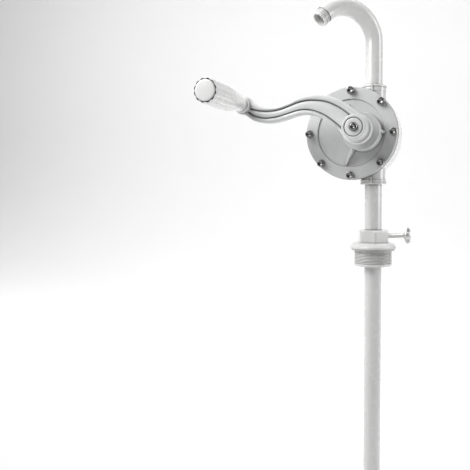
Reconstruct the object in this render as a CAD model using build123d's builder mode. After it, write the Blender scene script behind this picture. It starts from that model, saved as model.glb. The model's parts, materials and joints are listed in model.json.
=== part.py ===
from build123d import *
import math
import os

os.makedirs("parts", exist_ok=True)

# Frame: origin on the tube axis at the seat of the bung adapter, +Z up the tube,
# the crank is on the -Y side.  All sizes in mm.

# ---- driving sizes ----
TUBE_R = 13.35              # 3/4 in pipe, 26.7 mm outside
TUBE_BORE_R = 10.5
CASE_X = -30.5              # casing centre, seen from the tube axis
CASE_Z = 178.5
COVER_R = 70.5
BODY_R = 71.3
BODY_DEPTH = 50.0
COVER_T = 10.0
DISC_SINK = 2.0             # depth of the cover's sunk middle
SHAFT_OFFSET = 19.5         # shaft axis, right of the casing centre
SHAFT_R = 6.0
ECCENTRICITY = 8.0          # shaft axis, right of the chamber centre
CHAMBER_R = 44.0
CHAMBER_DEPTH = 36.0
BOLT_R = 64.7               # half of the cover bolt circle
BOLTS = 8
CRANK_FRONT_Y = -90.0       # front face of the crank arm
CRANK_T = 15.0
HUB_FRONT_Y = -110.0
GRIP_DX = -173.7            # grip axis, seen from the shaft axis
GRIP_DZ = 41.4
GRIP_LEN = 117.0
ADAPTER_TOP_Z = 29.0
ADAPTER_FLANGE_R = 35.7
HEX_AF = 44.0
CLAMP_Z = 20.0
CLAMP_AZ = 18.0             # direction of the clamp screw, from +X
WING_REACH = 49.0           # underside of the clamp screw's head, from the tube axis
BUNG_THREAD_R = 29.8        # G2 outside thread
BUNG_THREAD_LEN = 27.0
INLET_Z = 100.0             # underside of the inlet union nut
OUTLET_Z = 243.3            # underside of the outlet union nut
SPOUT_AZ = 220.0            # direction the spout points, from +X
SPOUT_BEND_R = 50.2
SPOUT_TURN = 136.3
SPOUT_BEND_Z = 318.9
SPOUT_TIP_LEN = 12.0
TUBE_JOIN_Z = -400.0
FOOT_Z = -850.0

# ---- clearances ----
RUN = 0.05                  # running fit, on the radius
FREE = 0.3                  # parts that move past each other without touching
SNUG = 0.1                  # seated parts
LOOSE = 1.3                 # gasket that the bung's thread passes through

# ---- derived sizes ----
SHAFT_X = CASE_X + SHAFT_OFFSET
CHAMBER_X = SHAFT_X - ECCENTRICITY
ROTOR_R = CHAMBER_R - ECCENTRICITY - FREE
NECK_R = TUBE_R + 5.45
JOINT_Y = -round(NECK_R + 1.2, 2)   # plane where cover and housing meet
CHAMBER_FLOOR_Y = JOINT_Y + CHAMBER_DEPTH
CHAMBER_MID_Y = JOINT_Y + CHAMBER_DEPTH / 2
BODY_REAR_Y = JOINT_Y + BODY_DEPTH
COVER_FRONT_Y = JOINT_Y - COVER_T
DISC_FRONT_Y = COVER_FRONT_Y + DISC_SINK
BOSS_FRONT_Y = COVER_FRONT_Y - 25.0
NOSE_FRONT_Y = CRANK_FRONT_Y + CRANK_T + 1.5
GRIP_X = SHAFT_X + GRIP_DX
GRIP_Z = CASE_Z + GRIP_DZ
NECK_THREAD_R = TUBE_R + 4.55
INLET_NUT_R = TUBE_R + 7.0
OUTLET_NUT_R = TUBE_R + 6.2
FLANGE_R = NECK_THREAD_R - 2.2
HEX_TURN = CLAMP_AZ + 30.0


def front(y):
    """Sketch plane facing the crank side, at the given depth."""
    return Plane.XZ.offset(-y)


def bolt_spots(radius):
    spots = []
    for i in range(BOLTS):
        a = math.radians(90 + 360 / BOLTS * i)
        spots.append((CASE_X + radius * math.cos(a), CASE_Z + radius * math.sin(a)))
    return spots


# ---- housing ----
with BuildPart() as pump_body:
    with BuildSketch(front(JOINT_Y)):
        with Locations((CASE_X, CASE_Z)):
            Circle(BODY_R)
    extrude(amount=-BODY_DEPTH)
    fillet(pump_body.edges().filter_by(GeomType.CIRCLE).sort_by(Axis.Y)[-1], 3)
    # rear bearing boss
    with BuildSketch(front(BODY_REAR_Y)):
        with Locations((SHAFT_X, CASE_Z)):
            Circle(17)
    extrude(amount=-7)
    fillet(pump_body.edges().filter_by(GeomType.CIRCLE).sort_by(Axis.Y)[-1], 2)
    # inlet neck and its thread
    with BuildSketch(Plane.XY.offset(INLET_Z + 7.5)):
        Circle(NECK_R)
    extrude(amount=40)
    with BuildSketch(Plane.XY.offset(INLET_Z + 2.6)):
        Circle(NECK_THREAD_R)
    extrude(amount=10)
    # outlet neck and its thread, with room for the union nut
    with BuildSketch(Plane.XY.offset(OUTLET_Z)):
        Circle(OUTLET_NUT_R + 0.8)
    extrude(amount=20, mode=Mode.SUBTRACT)
    with BuildSketch(Plane.XY.offset(OUTLET_Z)):
        Circle(NECK_R)
    extrude(amount=-36)
    with BuildSketch(Plane.XY.offset(OUTLET_Z - 5)):
        Circle(NECK_THREAD_R)
    extrude(amount=12.4)
    # pump chamber
    with BuildSketch(front(JOINT_Y)):
        with Locations((CHAMBER_X, CASE_Z)):
            Circle(CHAMBER_R)
    extrude(amount=-CHAMBER_DEPTH, mode=Mode.SUBTRACT)
    # inlet and outlet bores, each with a seat for the pipe flange
    with BuildSketch(Plane.XY.offset(INLET_Z)):
        Circle(TUBE_BORE_R)
    extrude(amount=CASE_Z - INLET_Z - 30, mode=Mode.SUBTRACT)
    with BuildSketch(Plane.XY.offset(INLET_Z)):
        Circle(FLANGE_R + FREE)
    extrude(amount=8.6, mode=Mode.SUBTRACT)
    with BuildSketch(Plane.XY.offset(CASE_Z + 30)):
        Circle(TUBE_BORE_R)
    extrude(amount=OUTLET_Z + 10 - CASE_Z - 30, mode=Mode.SUBTRACT)
    with BuildSketch(Plane.XY.offset(OUTLET_Z + 1.4)):
        Circle(FLANGE_R + FREE)
    extrude(amount=8, mode=Mode.SUBTRACT)
    # groove for the cover seal
    with BuildSketch(front(JOINT_Y)):
        with Locations((CASE_X, CASE_Z)):
            Circle(59.6)
            Circle(57.0, mode=Mode.SUBTRACT)
    extrude(amount=-2.0, mode=Mode.SUBTRACT)
    # sockets for the threaded inserts
    with BuildSketch(front(JOINT_Y)):
        with Locations(*bolt_spots(BOLT_R)):
            Circle(4.5)
    extrude(amount=-17, mode=Mode.SUBTRACT)
    # coring that keeps the wall even behind the wide side of the casing
    with BuildSketch(front(JOINT_Y)):
        with Locations((CASE_X, CASE_Z)):
            Circle(55.0)
        with Locations((CHAMBER_X, CASE_Z)):
            Circle(CHAMBER_R + 5, mode=Mode.SUBTRACT)
        with Locations((CASE_X + 25, CASE_Z)):
            Rectangle(90, 150, mode=Mode.SUBTRACT)
        with Locations((CASE_X - 40, CASE_Z + 14), (CASE_X - 40, CASE_Z - 14)):
            Rectangle(60, 4, mode=Mode.SUBTRACT)
    extrude(amount=-(CHAMBER_DEPTH - 4), mode=Mode.SUBTRACT)
    # coring of the rear face, with ribs that run out from the bearing boss
    with BuildSketch(front(BODY_REAR_Y + 1)):
        with Locations((CASE_X, CASE_Z)):
            Circle(56.5)
        with Locations((SHAFT_X, CASE_Z)):
            Circle(21, mode=Mode.SUBTRACT)
            with PolarLocations(0, 5):
                Rectangle(220, 4, mode=Mode.SUBTRACT)
    extrude(amount=9, mode=Mode.SUBTRACT)
    # seat of the rear bush
    with BuildSketch(front(CHAMBER_FLOOR_Y)):
        with Locations((SHAFT_X, CASE_Z)):
            Circle(8)
    extrude(amount=-(BODY_REAR_Y + 3 - CHAMBER_FLOOR_Y), mode=Mode.SUBTRACT)

# ---- front cover ----
with BuildPart() as front_cover:
    with BuildSketch(front(JOINT_Y)):
        with Locations((CASE_X, CASE_Z)):
            Circle(COVER_R)
    extrude(amount=COVER_T)
    fillet(front_cover.edges().filter_by(GeomType.CIRCLE).sort_by(Axis.Y)[0], 1.5)
    with BuildSketch(front(COVER_FRONT_Y)):
        with Locations((CASE_X, CASE_Z)):
            Circle(52)
    extrude(amount=-DISC_SINK, mode=Mode.SUBTRACT)
    face_edges = front_cover.edges().filter_by(GeomType.CIRCLE).group_by(Axis.Y)[0]
    fillet(face_edges.sort_by(SortBy.RADIUS)[0], 0.6)
    with BuildSketch(front(DISC_FRONT_Y)):
        with Locations((SHAFT_X, CASE_Z)):
            Circle(28.4)
    extrude(amount=DISC_FRONT_Y - BOSS_FRONT_Y)
    fillet(front_cover.edges().filter_by(GeomType.CIRCLE).sort_by(Axis.Y)[0], 1.5)
    # gusset ribs of the bearing boss
    for angle, reach in ((0, 34.0), (120, 50.0), (240, 56.0)):
        a = math.radians(angle)
        side = Plane(
            origin=(SHAFT_X, DISC_FRONT_Y + 0.5, CASE_Z),
            x_dir=(math.cos(a), 0, math.sin(a)),
            z_dir=(-math.sin(a), 0, math.cos(a)),
        )
        with BuildSketch(side):
            with BuildLine():
                Polyline((20, 0), (reach, 0), (reach, -2.0), (28, -22.0), (20, -22.0), close=True)
            make_face()
        extrude(amount=2.2, both=True)
    # bearing nose
    with BuildSketch(front(BOSS_FRONT_Y)):
        with Locations((SHAFT_X, CASE_Z)):
            Circle(14.5)
    extrude(amount=BOSS_FRONT_Y - NOSE_FRONT_Y)
    chamfer(front_cover.edges().filter_by(GeomType.CIRCLE).sort_by(Axis.Y)[0], 1.0)
    # shaft bore, bush seat and seal seat
    with BuildSketch(front(NOSE_FRONT_Y)):
        with Locations((SHAFT_X, CASE_Z)):
            Circle(SHAFT_R + FREE)
    extrude(amount=-80, mode=Mode.SUBTRACT)
    with BuildSketch(front(NOSE_FRONT_Y)):
        with Locations((SHAFT_X, CASE_Z)):
            Circle(8)
    extrude(amount=-(JOINT_Y - 4 - NOSE_FRONT_Y), mode=Mode.SUBTRACT)
    with BuildSketch(front(NOSE_FRONT_Y)):
        with Locations((SHAFT_X, CASE_Z)):
            Circle(11)
    extrude(amount=-7, mode=Mode.SUBTRACT)
    # bolt holes
    with BuildSketch(front(JOINT_Y)):
        with Locations(*bolt_spots(BOLT_R)):
            Circle(3.3)
    extrude(amount=COVER_T, mode=Mode.SUBTRACT)

# ---- cover fastening ----
with BuildPart() as cover_seal:
    with BuildSketch(front(JOINT_Y)):
        with Locations((CASE_X, CASE_Z)):
            Circle(59.5)
            Circle(57.1, mode=Mode.SUBTRACT)
    extrude(amount=-2.0)

with BuildPart() as cover_washers:
    with BuildSketch(front(COVER_FRONT_Y)):
        with Locations(*bolt_spots(BOLT_R)):
            Circle(5.8)
            Circle(3.2, mode=Mode.SUBTRACT)
    extrude(amount=1.6)

with BuildPart() as cover_screws:
    with BuildSketch(front(COVER_FRONT_Y - 1.6)):
        with Locations(*bolt_spots(BOLT_R)):
            Circle(5.5)
    extrude(amount=6)
    chamfer(cover_screws.edges().filter_by(GeomType.CIRCLE).group_by(Axis.Y)[0], 0.5)
    with BuildSketch(front(COVER_FRONT_Y - 1.6)):
        with Locations(*bolt_spots(BOLT_R)):
            Circle(3.0 - RUN)
    extrude(amount=-26)
    with BuildSketch(front(COVER_FRONT_Y - 7.6)):
        with Locations(*bolt_spots(BOLT_R)):
            RegularPolygon(2.5, 6, major_radius=False)
    extrude(amount=-3, mode=Mode.SUBTRACT)

with BuildPart() as thread_inserts:
    with BuildSketch(front(JOINT_Y)):
        with Locations(*bolt_spots(BOLT_R)):
            Circle(4.5)
            Circle(3.0, mode=Mode.SUBTRACT)
    extrude(amount=-16.5)

# ---- rotor group ----
with BuildPart() as shaft:
    with BuildSketch(front(BODY_REAR_Y + 2)):
        with Locations((SHAFT_X, CASE_Z)):
            Circle(SHAFT_R)
    extrude(amount=BODY_REAR_Y + 2 - (CRANK_FRONT_Y + CRANK_T))
    with BuildSketch(front(CRANK_FRONT_Y + CRANK_T)):
        with Locations((SHAFT_X, CASE_Z)):
            Rectangle(8.4, 8.4)
    extrude(amount=CRANK_FRONT_Y + CRANK_T - (HUB_FRONT_Y + 4))
    with BuildSketch(front(HUB_FRONT_Y + 4)):
        with Locations((SHAFT_X, CASE_Z)):
            Circle(3.0)
    extrude(amount=-19, mode=Mode.SUBTRACT)
    with BuildSketch(Plane.XY.offset(CASE_Z - 10)):
        with Locations((SHAFT_X, CHAMBER_MID_Y)):
            Circle(1.5)
    extrude(amount=20, mode=Mode.SUBTRACT)

with BuildPart() as rotor:
    with BuildSketch(front(JOINT_Y + FREE)):
        with Locations((SHAFT_X, CASE_Z)):
            Circle(ROTOR_R)
            Circle(SHAFT_R, mode=Mode.SUBTRACT)
            for angle in (45, 135, 225, 315):
                a = math.radians(angle)
                with Locations(Location((28.5 * math.cos(a), 28.5 * math.sin(a)), angle)):
                    Rectangle(35, 8.1, mode=Mode.SUBTRACT)
    extrude(amount=-(CHAMBER_DEPTH - 2 * FREE))
    with BuildSketch(Plane.XY.offset(CASE_Z - 50)):
        with Locations((SHAFT_X, CHAMBER_MID_Y)):
            Circle(1.5)
    extrude(amount=100, mode=Mode.SUBTRACT)

with BuildPart() as rotor_pin:
    with BuildSketch(Plane.XY.offset(CASE_Z - 20)):
        with Locations((SHAFT_X, CHAMBER_MID_Y)):
            Circle(1.5)
    extrude(amount=40)

vanes = []
for angle in (45, 135, 225, 315):
    a = math.radians(angle)
    flat = Plane(
        origin=(SHAFT_X, 0, CASE_Z),
        x_dir=(math.cos(a), 0, math.sin(a)),
        z_dir=(-math.sin(a), 0, math.cos(a)),
    )
    with BuildPart() as vane:
        with BuildSketch(flat.offset(-4)):
            with Locations((23.45, CHAMBER_MID_Y)):
                Rectangle(23.5, CHAMBER_DEPTH - 2 * FREE)
        extrude(amount=8)
        across = Plane(
            origin=(SHAFT_X, CHAMBER_MID_Y, CASE_Z),
            x_dir=(0, 1, 0),
            z_dir=(math.cos(a), 0, math.sin(a)),
        )
        with BuildSketch(across.offset(11)):
            with Locations((-9, 0), (9, 0)):
                Circle(2.6)
        extrude(amount=12, mode=Mode.SUBTRACT)
    vanes.append(vane)

with BuildPart() as vane_springs:
    for angle in (45, 135, 225, 315):
        a = math.radians(angle)
        for y in (-9, 9):
            seat = Plane(
                origin=(
                    SHAFT_X + 11.4 * math.cos(a),
                    CHAMBER_MID_Y + y,
                    CASE_Z + 11.4 * math.sin(a),
                ),
                x_dir=(0, 1, 0),
                z_dir=(math.cos(a), 0, math.sin(a)),
            )
            coil = Helix(pitch=1.5, height=10.5, radius=2.0, mode=Mode.PRIVATE).moved(seat.location)
            wire = Plane(origin=coil @ 0, z_dir=coil % 0)
            with BuildSketch(wire):
                Circle(0.4)
            sweep(path=coil)

# ---- bearings and shaft seal ----
with BuildPart() as rear_bush:
    with BuildSketch(front(CHAMBER_FLOOR_Y + 0.5)):
        with Locations((SHAFT_X, CASE_Z)):
            Circle(8)
            Circle(SHAFT_R + RUN, mode=Mode.SUBTRACT)
    extrude(amount=-16)

with BuildPart() as front_bush:
    with BuildSketch(front(JOINT_Y - 4)):
        with Locations((SHAFT_X, CASE_Z)):
            Circle(8)
            Circle(SHAFT_R + RUN, mode=Mode.SUBTRACT)
    extrude(amount=JOINT_Y - 4 - NOSE_FRONT_Y - 7)

with BuildPart() as shaft_seal:
    with BuildSketch(front(NOSE_FRONT_Y)):
        with Locations((SHAFT_X, CASE_Z)):
            Circle(11)
            Circle(SHAFT_R + FREE, mode=Mode.SUBTRACT)
    extrude(amount=-7)
    with BuildSketch(front(NOSE_FRONT_Y)):
        with Locations((SHAFT_X, CASE_Z)):
            Circle(9.5)
            Circle(SHAFT_R + 1.0, mode=Mode.SUBTRACT)
    extrude(amount=-2.5, mode=Mode.SUBTRACT)

# ---- crank ----
ARM_TOP = [
    (-169, 51), (-157, 44.6), (-146, 39.6), (-138, 37.9), (-126, 36.9), (-114.4, 38.0), (-98.9, 43.0),
    (-83.6, 48.8), (-66, 51.2), (-46, 49.4), (-28, 44.0), (-9.5, 32.4), (4, 21.6),
]
ARM_BOTTOM = [
    (-176, 31), (-166, 23.4), (-157, 17.6), (-148, 14.6), (-136, 12.8), (-122, 13.0), (-106, 16.6),
    (-91, 21.0), (-76, 23.2), (-61, 20.8), (-49, 15.6), (-38, 8.6), (-27, 0), (-21, -8),
]
WEB_TOP = [
    (-153, 31.2), (-143, 29.0), (-130, 28.1), (-114.4, 29.4), (-98.9, 34.0), (-83.6, 39.9),
    (-68.4, 42.3), (-53.4, 41.6), (-38.5, 38.3), (-25, 31.5), (-16, 25),
]
WEB_BOTTOM = [
    (-153, 25.4), (-143, 21.8), (-130, 20.4), (-114.4, 21.8), (-98.9, 25.5), (-83.5, 30.0),
    (-72, 30.8), (-53.3, 27.9), (-38.5, 21.6), (-27, 13.5), (-21.5, 9),
]


def arm_outline(top, bottom):
    """Closed outline through two rails, given from the shaft axis."""
    upper = [(SHAFT_X + x, CASE_Z + z) for x, z in top]
    lower = [(SHAFT_X + x, CASE_Z + z) for x, z in bottom]
    with BuildLine() as line:
        Spline(*upper)
        Spline(*lower)
        Line(upper[0], lower[0])
        Line(upper[-1], lower[-1])
    return line.line


with BuildPart() as crank_arm:
    with BuildSketch(front(CRANK_FRONT_Y)):
        add(arm_outline(ARM_TOP, ARM_BOTTOM))
        make_face()
        with Locations((SHAFT_X, CASE_Z)):
            Circle(21.8)
        with Locations((GRIP_X, GRIP_Z)):
            Circle(14)
    extrude(amount=-CRANK_T)
    # web between the two rails, sunk from both faces
    with BuildSketch(front(CRANK_FRONT_Y)):
        add(arm_outline(WEB_TOP, WEB_BOTTOM))
        make_face()
    extrude(amount=-5, mode=Mode.SUBTRACT)
    with BuildSketch(front(CRANK_FRONT_Y + CRANK_T)):
        add(arm_outline(WEB_TOP, WEB_BOTTOM))
        make_face()
    extrude(amount=5, mode=Mode.SUBTRACT)
    # hub
    with BuildSketch(front(CRANK_FRONT_Y)):
        with Locations((SHAFT_X, CASE_Z)):
            Circle(17.1)
    extrude(amount=CRANK_FRONT_Y - HUB_FRONT_Y)
    fillet(crank_arm.edges().filter_by(GeomType.CIRCLE).sort_by(Axis.Y)[0], 1.2)
    with BuildSketch(front(HUB_FRONT_Y)):
        with Locations((SHAFT_X, CASE_Z)):
            Circle(14.2)
    extrude(amount=-3, mode=Mode.SUBTRACT)
    # square seat for the shaft, screw hole, and hole for the grip spindle
    with BuildSketch(front(CRANK_FRONT_Y + CRANK_T)):
        with Locations((SHAFT_X, CASE_Z)):
            Rectangle(8.4 + 2 * SNUG, 8.4 + 2 * SNUG)
    extrude(amount=CRANK_FRONT_Y + CRANK_T - HUB_FRONT_Y, mode=Mode.SUBTRACT)
    with BuildSketch(front(CRANK_FRONT_Y)):
        with Locations((GRIP_X, GRIP_Z)):
            Circle(5.0)
    extrude(amount=-CRANK_T, mode=Mode.SUBTRACT)
    with BuildSketch(front(CRANK_FRONT_Y + CRANK_T)):
        with Locations((GRIP_X, GRIP_Z)):
            Circle(9.6)
    extrude(amount=6.5, mode=Mode.SUBTRACT)

with BuildPart() as hub_washer:
    with BuildSketch(front(HUB_FRONT_Y + 3)):
        with Locations((SHAFT_X, CASE_Z)):
            Circle(13.3)
            Circle(3.2, mode=Mode.SUBTRACT)
    extrude(amount=3.5)
    fillet(hub_washer.edges().filter_by(GeomType.CIRCLE).group_by(Axis.Y)[0].sort_by(SortBy.RADIUS)[-1], 0.8)

with BuildPart() as hub_screw:
    with BuildSketch(front(HUB_FRONT_Y - 0.5)):
        with Locations((SHAFT_X, CASE_Z)):
            Circle(5.5)
    extrude(amount=3.4)
    fillet(hub_screw.edges().filter_by(GeomType.CIRCLE).sort_by(Axis.Y)[0], 1.6)
    with BuildSketch(front(HUB_FRONT_Y - 0.5)):
        with Locations((SHAFT_X, CASE_Z)):
            Circle(3.0 - RUN)
    extrude(amount=-20)
    with BuildSketch(front(HUB_FRONT_Y - 3.9)):
        with Locations((SHAFT_X, CASE_Z)):
            RegularPolygon(2.0, 6, major_radius=False)
    extrude(amount=-2.2, mode=Mode.SUBTRACT)

# ---- grip, turning on its spindle ----
COLLAR_T = 8.4              # wide part of the collar
NECK_T = 2.6                # narrow ring between collar and grip
GRIP_BASE_Y = CRANK_FRONT_Y - COLLAR_T - NECK_T - FREE
GRIP_END_Y = GRIP_BASE_Y - GRIP_LEN
GRIP_PLANE = Plane(origin=(GRIP_X, GRIP_BASE_Y, GRIP_Z), x_dir=(1, 0, 0), z_dir=(0, 0, 1))

with BuildPart() as grip_collar:
    with BuildSketch(front(CRANK_FRONT_Y)):
        with Locations((GRIP_X, GRIP_Z)):
            Circle(12.6)
    extrude(amount=COLLAR_T)
    chamfer(grip_collar.edges().filter_by(GeomType.CIRCLE).sort_by(Axis.Y)[0], 0.8)
    with BuildSketch(front(CRANK_FRONT_Y - COLLAR_T)):
        with Locations((GRIP_X, GRIP_Z)):
            Circle(9.0)
    extrude(amount=NECK_T)
    with BuildSketch(front(CRANK_FRONT_Y)):
        with Locations((GRIP_X, GRIP_Z)):
            Circle(5.0)
    extrude(amount=COLLAR_T + NECK_T, mode=Mode.SUBTRACT)

with BuildPart() as grip:
    with BuildSketch(GRIP_PLANE):
        with BuildLine():
            Line((0, 0), (11.4, 0))
            Spline(
                (11.4, 0), (12.0, -10), (14.7, -30), (17.0, -52), (17.8, -80),
                tangents=((0, -1), (0, -1)),
            )
            Line((17.8, -80), (17.3, -GRIP_LEN + 1))
            Line((17.3, -GRIP_LEN + 1), (16.2, -GRIP_LEN))
            Line((16.2, -GRIP_LEN), (0, -GRIP_LEN))
            Line((0, -GRIP_LEN), (0, 0))
        make_face()
    revolve(axis=Axis((GRIP_X, 0, GRIP_Z), (0, 1, 0)))
    # finger flutes
    with BuildSketch(front(GRIP_END_Y)):
        with Locations((GRIP_X, GRIP_Z)):
            with PolarLocations(35.0, 12):
                Circle(18.6)
    extrude(amount=-66, mode=Mode.SUBTRACT)
    # spindle hole, and the recess behind the end cap
    with BuildSketch(front(GRIP_BASE_Y)):
        with Locations((GRIP_X, GRIP_Z)):
            Circle(5.0 + RUN)
    extrude(amount=GRIP_LEN, mode=Mode.SUBTRACT)
    with BuildSketch(front(GRIP_END_Y)):
        with Locations((GRIP_X, GRIP_Z)):
            Circle(12.0)
    extrude(amount=-14, mode=Mode.SUBTRACT)

with BuildPart() as grip_cap:
    with BuildSketch(front(GRIP_END_Y)):
        with Locations((GRIP_X, GRIP_Z)):
            Circle(14.2)
    extrude(amount=1.6)
    fillet(grip_cap.edges().filter_by(GeomType.CIRCLE).sort_by(Axis.Y)[0], 1.2)
    with BuildSketch(front(GRIP_END_Y)):
        with Locations((GRIP_X, GRIP_Z)):
            Circle(12.0)
            Circle(10.2, mode=Mode.SUBTRACT)
    extrude(amount=-4)

with BuildPart() as grip_spindle:
    with BuildSketch(front(CRANK_FRONT_Y + CRANK_T - 6.5)):
        with Locations((GRIP_X, GRIP_Z)):
            Circle(5.0)
    extrude(amount=CRANK_FRONT_Y + CRANK_T - 6.5 - (GRIP_END_Y + 13.7))
    with BuildSketch(front(GRIP_END_Y + 13.7)):
        with Locations((GRIP_X, GRIP_Z)):
            Circle(8.5)
    extrude(amount=5)
    with BuildSketch(front(GRIP_END_Y + 8.7)):
        with Locations((GRIP_X, GRIP_Z)):
            Rectangle(1.6, 20)
    extrude(amount=-2, mode=Mode.SUBTRACT)
    with BuildSketch(front(CRANK_FRONT_Y + CRANK_T)):
        with Locations((GRIP_X, GRIP_Z)):
            Circle(4.0)
    extrude(amount=6.5)

with BuildPart() as spindle_nut:
    with BuildSketch(front(CRANK_FRONT_Y + CRANK_T)):
        with Locations((GRIP_X, GRIP_Z)):
            RegularPolygon(6.5, 6, major_radius=False)
            Circle(4.0, mode=Mode.SUBTRACT)
    extrude(amount=6.5)

# ---- inlet union and suction tube ----
with BuildPart() as inlet_nut:
    with BuildSketch(Plane.XY.offset(INLET_Z)):
        Circle(INLET_NUT_R)
        Circle(TUBE_R + FREE, mode=Mode.SUBTRACT)
    extrude(amount=2.5)
    with BuildSketch(Plane.XY.offset(INLET_Z + 2.5)):
        Circle(INLET_NUT_R)
        Circle(NECK_THREAD_R + RUN, mode=Mode.SUBTRACT)
    extrude(amount=4.9)
    chamfer(inlet_nut.edges().filter_by(GeomType.CIRCLE).group_by(Axis.Z)[0].sort_by(SortBy.RADIUS)[-1], 0.8)

with BuildPart() as inlet_gasket:
    with BuildSketch(Plane.XY.offset(INLET_Z + 6.6)):
        Circle(FLANGE_R)
        Circle(TUBE_BORE_R, mode=Mode.SUBTRACT)
    extrude(amount=2.0)

with BuildPart() as upper_tube:
    with BuildSketch(Plane.XY.offset(TUBE_JOIN_Z)):
        Circle(TUBE_R)
    extrude(amount=INLET_Z + 6.5 - TUBE_JOIN_Z)
    with BuildSketch(Plane.XY.offset(INLET_Z + 2.5)):
        Circle(FLANGE_R)
    extrude(amount=4.0)
    with BuildSketch(Plane.XY.offset(TUBE_JOIN_Z)):
        Circle(TUBE_BORE_R)
    extrude(amount=INLET_Z + 6.5 - TUBE_JOIN_Z, mode=Mode.SUBTRACT)

with BuildPart() as lower_tube:
    with BuildSketch(Plane.XY.offset(TUBE_JOIN_Z)):
        Circle(TUBE_R)
        Circle(TUBE_BORE_R, mode=Mode.SUBTRACT)
    extrude(amount=FOOT_Z + 40 - TUBE_JOIN_Z)

with BuildPart() as tube_coupling:
    with BuildSketch(Plane.XY.offset(TUBE_JOIN_Z - 30)):
        Circle(TUBE_R + 3.8)
        Circle(TUBE_R, mode=Mode.SUBTRACT)
    extrude(amount=60)
    chamfer(tube_coupling.edges().filter_by(GeomType.CIRCLE).sort_by(SortBy.RADIUS)[-2:], 1.2)

with BuildPart() as foot_strainer:
    with BuildSketch(Plane.XY.offset(FOOT_Z)):
        Circle(TUBE_R + 3.4)
        Circle(TUBE_R, mode=Mode.SUBTRACT)
    extrude(amount=58)
    with BuildSketch(Plane.XY.offset(FOOT_Z)):
        Circle(TUBE_R + 3.4)
    extrude(amount=3)
    with BuildSketch(Plane.XY.offset(FOOT_Z + 36.5)):
        Circle(TUBE_R + 0.5)
        Circle(TUBE_BORE_R, mode=Mode.SUBTRACT)
    extrude(amount=3.5)
    for i in range(6):
        slot = Plane(
            origin=(0, 0, FOOT_Z + 18),
            x_dir=(-math.sin(math.radians(60 * i)), math.cos(math.radians(60 * i)), 0),
            z_dir=(math.cos(math.radians(60 * i)), math.sin(math.radians(60 * i)), 0),
        )
        with BuildSketch(slot.offset(8)):
            SlotOverall(24, 5, rotation=90)
        extrude(amount=12, mode=Mode.SUBTRACT)

# ---- bung adapter and tube clamp ----
with BuildPart() as bung_adapter:
    with BuildSketch(Plane.XY.offset(-BUNG_THREAD_LEN)):
        Circle(BUNG_THREAD_R)
    extrude(amount=BUNG_THREAD_LEN)
    chamfer(bung_adapter.edges().filter_by(GeomType.CIRCLE).sort_by(Axis.Z)[0], 1.5)
    with BuildSketch():
        Circle(ADAPTER_FLANGE_R)
    extrude(amount=9)
    chamfer(bung_adapter.edges().filter_by(GeomType.CIRCLE).sort_by(Axis.Z)[-1], 5, 5.6)
    with BuildSketch(Plane.XY.offset(9)):
        RegularPolygon(HEX_AF / 2, 6, major_radius=False, rotation=HEX_TURN)
    extrude(amount=ADAPTER_TOP_Z - 9)
    # turned chamfer on the corners of the hexagon
    with BuildSketch(Plane.XZ):
        with BuildLine():
            Polyline(
                (HEX_AF / 2, ADAPTER_TOP_Z), (HEX_AF / 2 + 6, ADAPTER_TOP_Z),
                (HEX_AF / 2 + 6, ADAPTER_TOP_Z - 2.6), close=True,
            )
        make_face()
    revolve(axis=Axis.Z, mode=Mode.SUBTRACT)
    with BuildSketch(Plane.XY.offset(-BUNG_THREAD_LEN)):
        Circle(TUBE_R + FREE)
    extrude(amount=BUNG_THREAD_LEN + ADAPTER_TOP_Z, mode=Mode.SUBTRACT)
    # hollow under the thread, to keep the walls even
    with BuildSketch(Plane.XY.offset(-BUNG_THREAD_LEN)):
        Circle(BUNG_THREAD_R - 5)
        Circle(TUBE_R + 5, mode=Mode.SUBTRACT)
    extrude(amount=BUNG_THREAD_LEN - 4, mode=Mode.SUBTRACT)
    # groove of the tube seal
    with BuildSketch(Plane.XY.offset(3)):
        Circle(TUBE_R + 3.4)
    extrude(amount=3.4, mode=Mode.SUBTRACT)
    # threaded hole of the clamp screw
    clamp_dir = (math.cos(math.radians(CLAMP_AZ)), math.sin(math.radians(CLAMP_AZ)), 0)
    with BuildSketch(Plane(origin=(0, 0, CLAMP_Z), z_dir=clamp_dir).offset(TUBE_R - 1)):
        Circle(4.0 + SNUG)
    extrude(amount=14, mode=Mode.SUBTRACT)

with BuildPart() as adapter_gasket:
    with BuildSketch(Plane.XY.offset(-2.5)):
        Circle(ADAPTER_FLANGE_R - 2)
        Circle(BUNG_THREAD_R + LOOSE, mode=Mode.SUBTRACT)
    extrude(amount=2.5)

with BuildPart() as tube_seal:
    with BuildSketch(Plane.XZ):
        with Locations((TUBE_R + FREE + 1.55, 4.7)):
            Circle(1.55)
    revolve(axis=Axis.Z)

CLAMP_PLANE = Plane(origin=(0, 0, CLAMP_Z), z_dir=clamp_dir)

with BuildPart() as clamp_pad:
    with BuildSketch(CLAMP_PLANE.offset(TUBE_R + SNUG)):
        Circle(3.6)
    extrude(amount=4.0)
    with BuildSketch(CLAMP_PLANE.offset(TUBE_R + SNUG + 4.0)):
        Circle(1.8)
    extrude(amount=-2.5, mode=Mode.SUBTRACT)

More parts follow.
